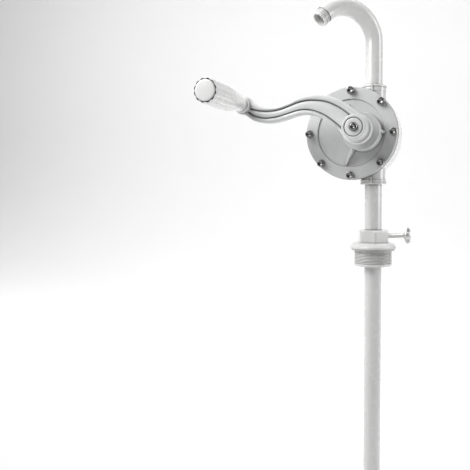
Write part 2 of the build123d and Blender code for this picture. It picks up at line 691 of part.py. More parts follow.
with BuildPart() as wing_screw:
    with BuildSketch(CLAMP_PLANE.offset(TUBE_R + SNUG + 4.05)):
        Circle(4.0)
    extrude(amount=WING_REACH - (TUBE_R + SNUG + 4.05))
    with BuildSketch(CLAMP_PLANE.offset(TUBE_R + SNUG + 1.6)):
        Circle(1.8 - RUN)
    extrude(amount=3.0)
    with BuildSketch(CLAMP_PLANE.offset(WING_REACH)):
        Circle(6.2)
    extrude(amount=10)
    fillet(wing_screw.edges().filter_by(GeomType.CIRCLE).sort_by(SortBy.RADIUS)[-2:], 0.8)
    # two wings on the head
    wing_face = Plane(
        origin=(WING_REACH * clamp_dir[0], WING_REACH * clamp_dir[1], CLAMP_Z),
        x_dir=clamp_dir,
        z_dir=(math.sin(math.radians(CLAMP_AZ)), -math.cos(math.radians(CLAMP_AZ)), 0),
    )
    with BuildSketch(wing_face):
        with BuildLine():
            Polyline(
                (1.0, 0), (1.0, 4), (5.0, 12.5), (8.5, 15.4), (12.0, 14.6),
                (12.7, 11.0), (9.5, 5.0), (9.5, 0), close=True,
            )
        make_face()
        mirror(about=Plane.XZ)
    extrude(amount=1.6, both=True)
    across_wings = Axis(origin=(0, 0, 0), direction=wing_face.z_dir)
    wing_edges = wing_screw.edges().filter_by(GeomType.LINE).filter_by(across_wings)
    fillet(wing_edges.sort_by(Axis.Z)[-3:-1], 1.2)

# ---- outlet union and spout ----
with BuildPart() as outlet_nut:
    with BuildSketch(Plane.XY.offset(OUTLET_Z)):
        Circle(OUTLET_NUT_R)
        Circle(NECK_THREAD_R + RUN, mode=Mode.SUBTRACT)
    extrude(amount=7.5)
    with BuildSketch(Plane.XY.offset(OUTLET_Z + 7.5)):
        Circle(OUTLET_NUT_R)
        Circle(TUBE_R + FREE, mode=Mode.SUBTRACT)
    extrude(amount=2.5)
    top_edges = outlet_nut.edges().filter_by(GeomType.CIRCLE).group_by(Axis.Z)[-1]
    chamfer(top_edges.sort_by(SortBy.RADIUS)[-1], 0.8)

with BuildPart() as outlet_gasket:
    with BuildSketch(Plane.XY.offset(OUTLET_Z + 1.4)):
        Circle(FLANGE_R)
        Circle(TUBE_BORE_R, mode=Mode.SUBTRACT)
    extrude(amount=2.0)

SPOUT_BASE_Z = OUTLET_Z + 3.5
spout_dir = Vector(math.cos(math.radians(SPOUT_AZ)), math.sin(math.radians(SPOUT_AZ)), 0)
bend_end = Vector(0, 0, SPOUT_BEND_Z)
bend_end += spout_dir * (SPOUT_BEND_R * (1 - math.cos(math.radians(SPOUT_TURN))))
bend_end += Vector(0, 0, SPOUT_BEND_R * math.sin(math.radians(SPOUT_TURN)))
tip_dir = spout_dir * math.sin(math.radians(SPOUT_TURN))
tip_dir += Vector(0, 0, math.cos(math.radians(SPOUT_TURN)))
half_turn = math.radians(SPOUT_TURN / 2)
bend_mid = Vector(0, 0, SPOUT_BEND_Z + SPOUT_BEND_R * math.sin(half_turn))
bend_mid += spout_dir * (SPOUT_BEND_R * (1 - math.cos(half_turn)))

with BuildPart() as spout:
    with BuildLine() as spout_path:
        Line((0, 0, SPOUT_BASE_Z), (0, 0, SPOUT_BEND_Z))
        ThreePointArc((0, 0, SPOUT_BEND_Z), bend_mid, bend_end)
    with BuildSketch(Plane.XY.offset(SPOUT_BASE_Z)):
        Circle(TUBE_R)
    sweep(path=spout_path.wire())
    # threaded end
    with BuildSketch(Plane(origin=bend_end, z_dir=tip_dir)):
        Circle(TUBE_R - 1.75)
    extrude(amount=SPOUT_TIP_LEN)
    # flange held by the outlet union
    with BuildSketch(Plane.XY.offset(SPOUT_BASE_Z)):
        Circle(FLANGE_R)
    extrude(amount=3.9)
    with BuildSketch(Plane(origin=bend_end, z_dir=tip_dir).offset(SPOUT_TIP_LEN)):
        Circle(TUBE_BORE_R - 0.7)
    extrude(amount=-SPOUT_TIP_LEN, mode=Mode.SUBTRACT)
    with BuildSketch(Plane.XY.offset(SPOUT_BASE_Z)):
        Circle(TUBE_BORE_R - 0.7)
    sweep(path=spout_path.wire(), mode=Mode.SUBTRACT)

PARTS = {
    "pump_body": pump_body,
    "front_cover": front_cover,
    "cover_seal": cover_seal,
    "cover_washers": cover_washers,
    "cover_screws": cover_screws,
    "thread_inserts": thread_inserts,
    "shaft": shaft,
    "rotor": rotor,
    "rotor_pin": rotor_pin,
    "vane_1": vanes[0],
    "vane_2": vanes[1],
    "vane_3": vanes[2],
    "vane_4": vanes[3],
    "vane_springs": vane_springs,
    "rear_bush": rear_bush,
    "front_bush": front_bush,
    "shaft_seal": shaft_seal,
    "crank_arm": crank_arm,
    "hub_washer": hub_washer,
    "hub_screw": hub_screw,
    "grip_collar": grip_collar,
    "grip": grip,
    "grip_cap": grip_cap,
    "grip_spindle": grip_spindle,
    "spindle_nut": spindle_nut,
    "inlet_nut": inlet_nut,
    "inlet_gasket": inlet_gasket,
    "upper_tube": upper_tube,
    "lower_tube": lower_tube,
    "tube_coupling": tube_coupling,
    "foot_strainer": foot_strainer,
    "bung_adapter": bung_adapter,
    "adapter_gasket": adapter_gasket,
    "tube_seal": tube_seal,
    "clamp_pad": clamp_pad,
    "wing_screw": wing_screw,
    "outlet_nut": outlet_nut,
    "outlet_gasket": outlet_gasket,
    "spout": spout,
}
for name, built in PARTS.items():
    built.part.label = name
    export_step(built.part, f"parts/{name}.step")
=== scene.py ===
import json
import math

import bmesh
import bpy
from bpy.props import FloatProperty, FloatVectorProperty, IntProperty, PointerProperty
from mathutils import Matrix, Vector


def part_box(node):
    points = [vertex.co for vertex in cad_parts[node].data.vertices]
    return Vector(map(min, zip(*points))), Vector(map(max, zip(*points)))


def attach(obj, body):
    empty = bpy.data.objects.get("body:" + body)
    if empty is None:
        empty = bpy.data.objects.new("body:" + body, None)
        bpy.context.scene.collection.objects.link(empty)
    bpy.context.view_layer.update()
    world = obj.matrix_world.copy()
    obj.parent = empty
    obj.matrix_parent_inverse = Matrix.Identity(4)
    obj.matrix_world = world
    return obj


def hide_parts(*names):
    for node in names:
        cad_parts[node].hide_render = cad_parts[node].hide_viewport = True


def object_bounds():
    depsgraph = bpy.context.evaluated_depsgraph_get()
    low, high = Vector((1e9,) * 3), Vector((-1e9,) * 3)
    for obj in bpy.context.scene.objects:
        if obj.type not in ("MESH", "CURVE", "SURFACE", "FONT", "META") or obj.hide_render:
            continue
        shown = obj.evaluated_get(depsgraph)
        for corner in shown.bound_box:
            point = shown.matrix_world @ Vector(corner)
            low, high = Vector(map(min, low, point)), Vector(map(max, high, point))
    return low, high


bl_info = {
    "name": "Rotary Hand Pump",
    "version": (1, 0, 0),
    "blender": (4, 5, 0),
    "location": "View3D > Sidebar > Hand Pump",
    "description": "Dresses a rotary drum pump in moulded plastic and stainless steel, in a studio",
    "category": "Object",
}

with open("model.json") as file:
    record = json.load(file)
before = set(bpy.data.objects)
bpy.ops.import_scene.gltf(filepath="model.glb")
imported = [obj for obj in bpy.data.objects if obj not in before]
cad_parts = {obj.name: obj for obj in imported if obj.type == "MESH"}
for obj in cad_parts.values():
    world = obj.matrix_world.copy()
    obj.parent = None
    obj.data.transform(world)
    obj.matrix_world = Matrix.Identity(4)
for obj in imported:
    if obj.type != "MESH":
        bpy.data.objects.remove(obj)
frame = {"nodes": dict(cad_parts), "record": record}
NODES = frame["nodes"]
CAD_LOW, CAD_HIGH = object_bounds()
JOINTS = {joint["name"]: joint for joint in frame["record"]["behaviour"]["joints"]}
MOUNTS = {mount["name"]: mount for mount in frame["record"]["mounts"]}


# ---------------------------------------------------------------- sizes, in millimetres
MM = 0.001

# crank
SHAFT_HOLE_R = 6.2
HUB_R = 21.8
HUB_SHOULDER_R = 17.1
HUB_RECESS_R = 13.6
HUB_RECESS_DEPTH = 3
GRIP_BOSS_R = 14
BOSS_NECK_R = 9.6
SPINDLE_HOLE_R = 5.1
DISC_R = 12.9
DISC_HOLE_R = 3.2
ARM_SECTIONS = 110

# grip, its cap and its collar
GRIP_BORE_R = 5.05
FLUTED_FROM_R = 12.4
CAP_SEAT_R = 12.0
CAP_R = 14.3
CAP_DEPTH = 14
COLLAR_BORE_R = 5.02
COLLAR_R = 12.6
COLLAR_NECK_R = 6.8

# screws
COVER_SCREWS = 8
SCREW_HEAD_R = 5.5
WASHER_R = 5.8
WASHER_HOLE_R = 3.2
WASHER_THICK = 1.6

# union nuts and bung adapter
PIPE_HOLE_R = 13.65
NUT_SEAT_R = 17.95
NUT_FLOOR = 2.5
LUG_HALF_WIDTH = 1.4
LUG_INNER_R = 19.0
BUNG_THREAD_LOW = -24.6
BUNG_THREAD_HIGH = -3.4
BUNG_THREAD_DEPTH = 1.35
FLANGE_R = 35.7
HEX_HALF_FLATS = 22.0
HEX_CORNER_R = 24.7
HEX_CHAMFER = 2.8

# spout and wing screw
RIDGE_PITCH = 3.4
RIDGE_HEIGHT = 1.1
STUD_R = 4.0
STUD_PITCH = 1.25
STUD_THREAD_LOW = 18.0
STUD_THREAD_HIGH = 47.5
WING_STEPS = 17

# studio, in metres
FLOOR_FRONT = -9.0
FLOOR_BACK = 4.0
FLOOR_BEND_R = 2.5
FLOOR_HALF_WIDTH = 14.0
WALL_HEIGHT = 9.0
LIGHT_AIM = (-0.05, 0.0, 0.15)
CAMERA_PLACE = (0.13945, -0.88843, 0.0853)
CAMERA_PITCH = 90 - 2.13
CAMERA_HEADING = 18.3
CAMERA_SHIFT = (-0.0957, -0.0426)


# ---------------------------------------------------------------- node helpers
class Recipe:
    """A node tree under construction, with the shader and the object coordinates ready."""

    def __init__(self, name):
        self.material = bpy.data.materials.new(name)
        self.material.use_nodes = True
        self.tree = self.material.node_tree
        self.shader = self.tree.nodes["Principled BSDF"]
        self.coords = self.add("ShaderNodeTexCoord").outputs["Object"]

    def add(self, kind, **settings):
        node = self.tree.nodes.new(kind)
        for key, value in settings.items():
            if hasattr(node, key):
                setattr(node, key, value)
            else:
                node.inputs[key].default_value = value
        return node

    def join(self, source, target):
        self.tree.links.new(source, target)
        return target

    def noise(self, scale, detail=4.0, roughness=0.55, stretch=None):
        node = self.add("ShaderNodeTexNoise", Scale=scale, Detail=detail, Roughness=roughness)
        source = self.coords
        if stretch:
            mapping = self.add("ShaderNodeMapping", Scale=stretch)
            self.join(source, mapping.inputs["Vector"])
            source = mapping.outputs["Vector"]
        self.join(source, node.inputs["Vector"])
        return node.outputs["Fac"]

    def spread(self, source, low, high, start=0.3, stop=0.7):
        node = self.add("ShaderNodeMapRange")
        node.inputs["From Min"].default_value = start
        node.inputs["From Max"].default_value = stop
        node.inputs["To Min"].default_value = low
        node.inputs["To Max"].default_value = high
        self.join(source, node.inputs["Value"])
        return node.outputs["Result"]

    def tint(self, source, dark, light):
        node = self.add("ShaderNodeMix", data_type="RGBA")
        self.join(source, node.inputs[0])
        node.inputs[6].default_value = (*dark, 1)
        node.inputs[7].default_value = (*light, 1)
        return node.outputs[2]

    def edges(self, radius):
        """Mask of the outer edges, and a normal that rounds them."""
        soft = self.add("ShaderNodeBevel", samples=4, Radius=radius)
        sharp = self.add("ShaderNodeNewGeometry")
        dot = self.add("ShaderNodeVectorMath", operation="DOT_PRODUCT")
        self.join(soft.outputs["Normal"], dot.inputs[0])
        self.join(sharp.outputs["Normal"], dot.inputs[1])
        return self.spread(dot.outputs["Value"], 1.0, 0.0, 0.75, 0.98), soft.outputs["Normal"]

    def crevice_shaded(self, colour, reach, dark):
        """The colour, darkened by painted shade in corners and narrow gaps, from an
        ambient-occlusion mask.
        """
        corner = self.add("ShaderNodeAmbientOcclusion", samples=8, Distance=reach)
        openness = self.spread(corner.outputs["AO"], 0.0, 1.0, 0.30, 0.85)
        painted_shade = self.tint(openness, (dark,) * 3, (1, 1, 1))
        mixed = self.add("ShaderNodeMix", data_type="RGBA", blend_type="MULTIPLY")
        mixed.inputs[0].default_value = 1.0
        self.join(colour, mixed.inputs[6])
        self.join(painted_shade, mixed.inputs[7])
        return mixed.outputs[2]

    def bump(self, layers, previous=None):
        for source, strength, distance in layers:
            node = self.add("ShaderNodeBump", Strength=strength, Distance=distance)
            self.join(source, node.inputs["Height"])
            if previous:
                self.join(previous, node.inputs["Normal"])
            previous = node.outputs["Normal"]
        self.join(previous, self.shader.inputs["Normal"])


def scaled(colour, factor):
    return tuple(min(1.0, c * factor) for c in colour)


# ---------------------------------------------------------------- mesh helpers
def turned(profile, segments, shape=None, loop=True):
    """Rings of a turned piece, radius and height in millimetres, joined into a closed skin.

    shape(radius, height, angle) may change a ring's radius from place to place, for flutes
    and threads.
    A profile that isn't a loop is closed at both ends.
    """
    bm = bmesh.new()
    rings = []
    for radius, height in profile:
        ring = []
        for j in range(segments):
            angle = 2 * math.pi * j / segments
            r = shape(radius, height, angle) if shape else radius
            ring.append(bm.verts.new((r * math.cos(angle), r * math.sin(angle), height)))
        rings.append(ring)
    pairs = list(zip(rings, rings[1:]))
    if loop:
        pairs.append((rings[-1], rings[0]))
    for low, high in pairs:
        for j in range(segments):
            k = (j + 1) % segments
            bm.faces.new((low[j], low[k], high[k], high[j]))
    if not loop:
        bm.faces.new(rings[0][::-1])
        bm.faces.new(rings[-1])
    bmesh.ops.recalc_face_normals(bm, faces=bm.faces)
    return bm


def rounded(corners, radius=0.6, steps=3):
    """Profile with its corners rounded; a corner with a third number has its own radius."""
    out = []
    count = len(corners)
    for i, corner in enumerate(corners):
        here = Vector(corner[:2])
        before = Vector(corners[i - 1][:2]) - here
        after = Vector(corners[(i + 1) % count][:2]) - here
        want = corner[2] if len(corner) > 2 else radius
        reach = min(want, 0.45 * before.length, 0.45 * after.length)
        if reach <= 0.01:
            out.append(tuple(here))
            continue
        first = here + before.normalized() * reach
        last = here + after.normalized() * reach
        for k in range(steps + 1):
            t = k / steps
            out.append(tuple(first * (1 - t) ** 2 + here * (2 * t * (1 - t)) + last * t ** 2))
    return out


def smooth_line(points, count):
    """Evenly spaced points along a smooth line through the given ones."""
    pts = [Vector(p) for p in points]
    dense = []
    for i in range(len(pts) - 1):
        a = pts[i - 1] if i else pts[i] * 2 - pts[i + 1]
        b, c = pts[i], pts[i + 1]
        d = pts[i + 2] if i + 2 < len(pts) else c * 2 - b
        for k in range(16):
            t = k / 16
            square = (2 * a - 5 * b + 4 * c - d) * t ** 2
            cube = (3 * b - a - 3 * c + d) * t ** 3
            dense.append(0.5 * (2 * b + (c - a) * t + square + cube))
    dense.append(pts[-1])
    reach = [0.0]
    for p, q in zip(dense, dense[1:]):
        reach.append(reach[-1] + (q - p).length)
    out = []
    j = 0
    for i in range(count):
        want = reach[-1] * i / (count - 1)
        while j < len(dense) - 2 and reach[j + 1] < want:
            j += 1
        span = reach[j + 1] - reach[j]
        out.append(dense[j].lerp(dense[j + 1], (want - reach[j]) / span if span else 0.0))
    return out


def lofted(sections):
    """Skin through closed sections of equal length, closed at both ends."""
    bm = bmesh.new()
    rings = [[bm.verts.new(p) for p in section] for section in sections]
    for low, high in zip(rings, rings[1:]):
        for j in range(len(low)):
            k = (j + 1) % len(low)
            bm.faces.new((low[j], low[k], high[k], high[j]))
    bm.faces.new(rings[0][::-1])
    bm.faces.new(rings[-1])
    bmesh.ops.recalc_face_normals(bm, faces=bm.faces)
    return bm


def add_mesh(bm, other, matrix):
    """Append another piece's faces, moved by matrix; millimetres in, millimetres out."""
    mesh = bpy.data.meshes.new("part")
    other.to_mesh(mesh)
    other.free()
    mesh.transform(matrix)
    bm.from_mesh(mesh)
    bpy.data.meshes.remove(mesh)


def along(axis, place=(0, 0, 0), turn=0.0):
    """Matrix that lays a turned piece's height along axis, starting from place, in millimetres."""
    lay = Vector(axis).to_track_quat("Z", "Y").to_matrix().to_4x4()
    return Matrix.Translation(Vector(place)) @ lay @ Matrix.Rotation(turn, 4, "Z")


def facing_front(spot, y=0):
    """Matrix that lays a turned piece's height towards the front, along the axis through spot."""
    return along((0, -1, 0), (spot.x, y, spot.z))


def move(bm, matrix):
    bmesh.ops.transform(bm, matrix=matrix, verts=bm.verts)


def finish_piece(name, bm, slot, body, *nodes, crease=32.0):
    """Turn a millimetre mesh into a named object that rides on its body and stands for nodes."""
    mesh = bpy.data.meshes.new(name)
    bm.to_mesh(mesh)
    bm.free()
    mesh.transform(Matrix.Scale(MM, 4))
    for poly in mesh.polygons:
        poly.use_smooth = True
    mesh.set_sharp_from_angle(angle=math.radians(crease))
    mesh.materials.append(FINISHES[slot])
    piece = bpy.data.objects.new(name, mesh)
    bpy.context.collection.objects.link(piece)
    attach(piece, body)
    if nodes:
        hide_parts(*nodes)
    return piece


def united(name, parts):
    """One closed mesh from overlapping closed ones."""
    objects = []
    for i, bm in enumerate(parts):
        mesh = bpy.data.meshes.new(f"{name}_{i}")
        bm.to_mesh(mesh)
        bm.free()
        objects.append(bpy.data.objects.new(f"{name}_{i}", mesh))
        bpy.context.collection.objects.link(objects[-1])
    base = objects[0]
    for other in objects[1:]:
        modifier = base.modifiers.new("join", "BOOLEAN")
        modifier.operation = "UNION"
        modifier.solver = "EXACT"
        modifier.object = other
    bpy.context.view_layer.update()
    graph = bpy.context.evaluated_depsgraph_get()
    result = bpy.data.meshes.new_from_object(base.evaluated_get(graph))
    bm = bmesh.new()
    bm.from_mesh(result)
    bpy.data.meshes.remove(result)
    for item in objects:
        mesh = item.data
        bpy.data.objects.remove(item)
        bpy.data.meshes.remove(mesh)
    if not bm.faces:
        raise RuntimeError(f"{name} came out empty")
    return bm


def socket_screw(head_r, head_h, socket, depth, shank_r, shank_len, dome=0.8):
    """Screw with a hexagon socket; its head sits on height 0 and its shank runs down."""
    segments = 48
    bm = bmesh.new()

    def hexagon(across, angle):
        step = math.pi / 3
        return across / math.cos((angle + step / 2) % step - step / 2)

    rows = [
        (0.0, -shank_len, "pole"),
        (shank_r - 0.6, -shank_len, "round"),
        (shank_r, -shank_len + 0.6, "round"),
        (shank_r, 0.0, "round"),
        (head_r - 0.3, 0.0, "round"),
        (head_r, 0.3, "round"),
        (head_r, head_h - dome, "round"),
        (head_r - 0.12 * dome, head_h - 0.55 * dome, "round"),
        (head_r - 0.45 * dome, head_h - 0.15 * dome, "round"),
        (head_r - dome, head_h, "round"),
        (socket * 1.32, head_h, "round"),
        (socket * 1.24, head_h - 0.12, "round"),
        (socket, head_h - 0.5, "hexagon"),
        (socket, head_h - depth, "hexagon"),
        (socket * 0.5, head_h - depth - 0.5, "round"),
        (0.0, head_h - depth - 0.8, "pole"),
    ]
    rings = []
    for radius, height, kind in rows:
        if kind == "pole":
            rings.append([bm.verts.new((0, 0, height))])
            continue
        ring = []
        for j in range(segments):
            angle = 2 * math.pi * j / segments
            r = hexagon(radius, angle) if kind == "hexagon" else radius
            ring.append(bm.verts.new((r * math.cos(angle), r * math.sin(angle), height)))
        rings.append(ring)
    for low, high in zip(rings, rings[1:]):
        for j in range(segments):
            k = (j + 1) % segments
            corners = [
                low[j % len(low)], low[k % len(low)],
                high[k % len(high)], high[j % len(high)],
            ]
            bm.faces.new(list(dict.fromkeys(corners)))
    bmesh.ops.recalc_face_normals(bm, faces=bm.faces)
    return bm


# ---------------------------------------------------------------- finishes
def moulded_plastic(name, colour, roughness, grain=1.0, rim=0.0009):
    """Matt grey casting: fine sprayed grain, faint flow marks, brighter rubbed edges."""
    r = Recipe(name)
    worn, rounded_normal = r.edges(rim)
    mottle = r.spread(r.noise(14.0, 5.0, 0.6), 0.0, 1.0)
    flow = r.spread(r.noise(60.0, 3.0, 0.6, (1.0, 0.25, 1.0)), 0.0, 1.0, 0.35, 0.65)
    base = r.tint(mottle, scaled(colour, 0.93), scaled(colour, 1.04))
    blend = r.add("ShaderNodeMix", data_type="RGBA", blend_type="MULTIPLY")
    blend.inputs[0].default_value = 0.5
    r.join(base, blend.inputs[6])
    r.join(r.tint(flow, (0.93, 0.93, 0.935), (1.0, 1.0, 1.0)), blend.inputs[7])
    rub = r.add("ShaderNodeMath", operation="MULTIPLY")
    r.join(worn, rub.inputs[0])
    r.join(r.spread(r.noise(220.0, 4.0, 0.6), 0.15, 0.85), rub.inputs[1])
    edge = r.add("ShaderNodeMix", data_type="RGBA")
    r.join(rub.outputs[0], edge.inputs[0])
    r.join(blend.outputs[2], edge.inputs[6])
    edge.inputs[7].default_value = (*scaled(colour, 1.45), 1)
    # Painted shade: corners and narrow gaps darkened through the ambient-occlusion mask.
    r.join(r.crevice_shaded(edge.outputs[2], 0.0045, 0.3), r.shader.inputs["Base Color"])
    matt = r.spread(r.noise(90.0, 4.0), roughness - 0.08, roughness + 0.08)
    r.join(matt, r.shader.inputs["Roughness"])
    r.shader.inputs["IOR"].default_value = 1.52
    r.shader.inputs["Specular IOR Level"].default_value = 0.5
    r.bump([
        (r.noise(1500.0, 2.0, 0.5), 0.14 * grain, 0.0004),
        (r.noise(320.0, 3.0, 0.5), 0.09 * grain, 0.0006),
    ], rounded_normal)
    return r.material


def glossy_plastic(name, colour, roughness):
    """White injection-moulded plastic with a soft gloss, slight waviness and faint scuffs."""
    r = Recipe(name)
    rounded_normal = r.edges(0.0005)[1]
    mottle = r.spread(r.noise(11.0, 4.0, 0.55), 0.0, 1.0)
    scuffs = r.spread(r.noise(900.0, 4.0, 0.7, (1.0, 1.0, 0.03)), 0.0, 1.0, 0.64, 0.80)
    base = r.tint(mottle, scaled(colour, 0.965), scaled(colour, 1.02))
    mark = r.add("ShaderNodeMix", data_type="RGBA")
    r.join(scuffs, mark.inputs[0])
    r.join(base, mark.inputs[6])
    mark.inputs[7].default_value = (*scaled(colour, 0.97), 1)
    # Painted shade: corners and narrow gaps darkened through the ambient-occlusion mask.
    r.join(r.crevice_shaded(mark.outputs[2], 0.005, 0.2), r.shader.inputs["Base Color"])
    matt = r.spread(r.noise(130.0, 5.0), roughness - 0.05, roughness + 0.07)
    r.join(matt, r.shader.inputs["Roughness"])
    r.shader.inputs["IOR"].default_value = 1.5
    r.shader.inputs["Coat Weight"].default_value = 0.6
    r.shader.inputs["Coat Roughness"].default_value = 0.12
    r.bump([
        (r.noise(30.0, 2.0, 0.4), 0.02, 0.0008),
        (r.noise(900.0, 2.0, 0.5), 0.015, 0.0003),
    ], rounded_normal)
    return r.material


def turned_steel(name, colour, roughness):
    """Stainless fastener steel: bright, with fine tool marks and small scratches."""
    r = Recipe(name)
    r.shader.inputs["Metallic"].default_value = 1.0
    cloud = r.spread(r.noise(160.0, 4.0), 0.0, 1.0)
    r.join(r.tint(cloud, scaled(colour, 0.82), scaled(colour, 1.08)), r.shader.inputs["Base Color"])
    marks = r.noise(2600.0, 3.0, 0.6, (1.0, 0.08, 1.0))
    r.join(r.spread(marks, roughness - 0.06, roughness + 0.10), r.shader.inputs["Roughness"])
    r.shader.inputs["Anisotropic"].default_value = 0.35
    r.bump([(marks, 0.08, 0.00015), (r.noise(420.0, 2.0), 0.05, 0.0003)])
    return r.material


def cut_brass(name, colour):
    """Turned brass of the threaded inserts."""
    r = Recipe(name)
    r.shader.inputs["Metallic"].default_value = 1.0
    r.join(
        r.tint(r.spread(r.noise(220.0), 0.0, 1.0), scaled(colour, 0.8), scaled(colour, 1.1)),
        r.shader.inputs["Base Color"],
    )
    r.join(r.spread(r.noise(1800.0, 3.0), 0.22, 0.4), r.shader.inputs["Roughness"])
    r.bump([(r.noise(1800.0, 3.0), 0.08, 0.0002)])
    return r.material


def waxy_plastic(name, colour):
    """Fluoroplastic of bushes, vanes and gaskets: white and waxy."""
    r = Recipe(name)
    r.join(
        r.tint(r.spread(r.noise(40.0), 0.0, 1.0), scaled(colour, 0.95), colour),
        r.shader.inputs["Base Color"],
    )
    r.join(r.spread(r.noise(200.0), 0.38, 0.5), r.shader.inputs["Roughness"])
    r.shader.inputs["IOR"].default_value = 1.36
    r.bump([(r.noise(700.0, 3.0), 0.06, 0.0003)])
    return r.material


def black_rubber(name, colour):
    """Moulded black rubber with a dusty bloom."""
    r = Recipe(name)
    bloom = r.spread(r.noise(70.0, 6.0, 0.7), 0.0, 1.0)
    r.join(r.tint(bloom, colour, scaled(colour, 1.8)), r.shader.inputs["Base Color"])
    r.join(r.spread(r.noise(300.0), 0.6, 0.8), r.shader.inputs["Roughness"])
    r.bump([(r.noise(1100.0, 3.0), 0.15, 0.0003)])
    return r.material


# Materials by slot, filled by the finishes operator.
FINISHES = {}


# ---------------------------------------------------------------- crank arm
# Lines along the arm, in millimetres from the shaft's axis: the two rails' outer edges and the
# web's two edges, from the grip to the hub.
RAIL_TOP = [
    (-171, 52.6), (-157, 44.6), (-146, 39.6), (-138, 37.9), (-126, 36.9),
    (-114.4, 38.0), (-98.9, 43.0), (-83.6, 48.8), (-66, 51.2), (-46, 49.4),
    (-28, 44.0), (-9.5, 32.4), (4, 21.4),
]
WEB_TOP = [
    (-167, 40.6), (-153, 34.0), (-143, 30.6), (-130, 29.0), (-114.4, 30.2),
    (-98.9, 34.8), (-83.6, 40.6), (-67.5, 43.0), (-51, 41.8), (-36, 37.8),
    (-20, 29.0), (-8, 19.6), (-2, 14.0),
]
WEB_BOTTOM = [
    (-168.4, 36.0), (-155, 24.4), (-145, 19.6), (-132, 17.6), (-116, 19.4),
    (-100, 24.0), (-86, 27.6), (-74, 28.4), (-60, 25.6), (-46, 19.4),
    (-34, 11.0), (-23, 1.6), (-16, -5.0),
]
RAIL_BOTTOM = [
    (-176, 31), (-166, 23.4), (-157, 17.6), (-148, 14.6), (-136, 12.8),
    (-122, 13.0), (-106, 16.6), (-91, 21.0), (-76, 23.2), (-61, 20.8),
    (-49, 15.6), (-38, 8.6), (-27, 0), (-20.4, -9),
]


def arm_sections(front, back, sink, count):
    """Cross-sections of the arm: two rounded rails with a sunk web between, both faces alike."""
    lines = [smooth_line(points, count) for points in (RAIL_TOP, WEB_TOP, WEB_BOTTOM, RAIL_BOTTOM)]
    sections = []
    for top, web_top, web_bottom, bottom in zip(*lines):
        across = bottom - top
        width = across.length
        across.normalize()
        a = (web_top - top).dot(across)
        b = width - (web_bottom - top).dot(across)
        part = min(1.0, (width - a - b) / 9.0)
        web = sink - 2.6
        profile = []
        for d, lift in (
            (0.0, 4.2), (0.35, 2.5), (1.2, 1.1), (2.6, 0.3), (4.0, 0.0),
            (a - 2.0, 0.1), (a - 0.9, 0.6), (a - 0.3, 1.5), (a, 2.6),
            (a + 0.2 * part, sink - 1.0), (a + 0.6 * part, sink), (a + 1.3 * part, sink),
            (a + 2.2 * part, web + 0.7), (a + 3.6 * part, web),
        ):
            profile.append((d, lift))
        profile.append((0.5 * (a + width - b), web - 0.3))
        for d, lift in (
            (b + 3.6 * part, web), (b + 2.2 * part, web + 0.7), (b + 1.3 * part, sink),
            (b + 0.6 * part, sink), (b + 0.2 * part, sink - 1.0),
            (b, 2.2), (b - 0.3, 1.2), (b - 0.9, 0.5), (b - 1.8, 0.1),
            (2.4, 0.0), (1.5, 0.4), (0.7, 1.3), (0.2, 2.6), (0.0, 4.2),
        ):
            profile.append((width - d, lift))
        ring = []
        for d, lift in profile:
            point = top + across * d
            ring.append((point.x, front + lift, point.y))
        for d, lift in reversed(profile):
            point = top + across * d
            ring.append((point.x, back - lift, point.y))
        sections.append(ring)
    return sections


# ---------------------------------------------------------------- settings
class PumpFinishSettings(bpy.types.PropertyGroup):
    """Colours and gloss of the pump's materials."""

    housing: FloatVectorProperty(
        name="Casing colour", description="Moulded casing and cover", subtype="COLOR",
        size=3, min=0, max=1, default=(0.60, 0.603, 0.605),
    )
    crank: FloatVectorProperty(
        name="Crank colour", description="Moulded crank arm", subtype="COLOR",
        size=3, min=0, max=1, default=(0.64, 0.643, 0.645),
    )
    white: FloatVectorProperty(
        name="White parts", description="Spout, tube, adapter and grip", subtype="COLOR",
        size=3, min=0, max=1, default=(0.67, 0.67, 0.665),
    )
    steel: FloatVectorProperty(
        name="Steel colour", description="Screws, washers and wing screw", subtype="COLOR",
        size=3, min=0, max=1, default=(0.33, 0.33, 0.326),
    )
    casing_roughness: FloatProperty(
        name="Casing roughness", description="How matt the casing is", min=0, max=1, default=0.42,
    )
    white_roughness: FloatProperty(
        name="White roughness", description="How matt the white parts are",
        min=0, max=1, default=0.24,
    )


class PumpPartSettings(bpy.types.PropertyGroup):
    """Sizes of the moulded and turned details."""

    rail_sink: FloatProperty(
        name="Web depth", description="Depth of the web below the crank's rails, in millimetres",
        min=3.4, max=6.0, default=4.4,
    )
    flutes: IntProperty(
        name="Grip flutes", description="Finger flutes round the grip", min=6, max=16, default=12,
    )
    flute_depth: FloatProperty(
        name="Flute depth", description="Depth of the grip's flutes, in millimetres",
        min=0.2, max=2.0, default=1.5,
    )
    screw_socket: FloatProperty(
        name="Screw socket",
        description="Half the width across the flats of the cover screws' sockets, in millimetres",
        min=1.5, max=3.2, default=2.5,
    )
    spout_ridges: IntProperty(
        name="Spout ridges", description="Rings of thread at the spout's end",
        min=1, max=5, default=3,
    )
    bung_pitch: FloatProperty(
        name="Bung thread pitch", description="Pitch of the adapter's pipe thread, in millimetres",
        min=1.5, max=4.0, default=2.309,
    )


class PumpStudioSettings(bpy.types.PropertyGroup):
    """Floor, lights and camera."""

    floor_gap: FloatProperty(
        name="Floor gap",
        description="Distance from the foot down to the floor, so that the lowered tube clears it",
        subtype="DISTANCE", unit="LENGTH", default=0.072,
    )
    lens: FloatProperty(
        name="Lens", description="Focal length in millimetres", min=10, default=43.245,
    )
    key_power: FloatProperty(
        name="Key light", description="Power of the main light", unit="POWER", default=11.5,
    )
    fill_power: FloatProperty(
        name="Fill light", description="Power of the fill light", unit="POWER", default=9.0,
    )
    sky: FloatProperty(
        name="Room light", description="Brightness of the white room", min=0, default=0.88,
    )
    sky_gap: FloatProperty(
        name="Dark panel", description="Brightness of the dark panel, right of the viewer",
        min=0, default=0.0,
    )


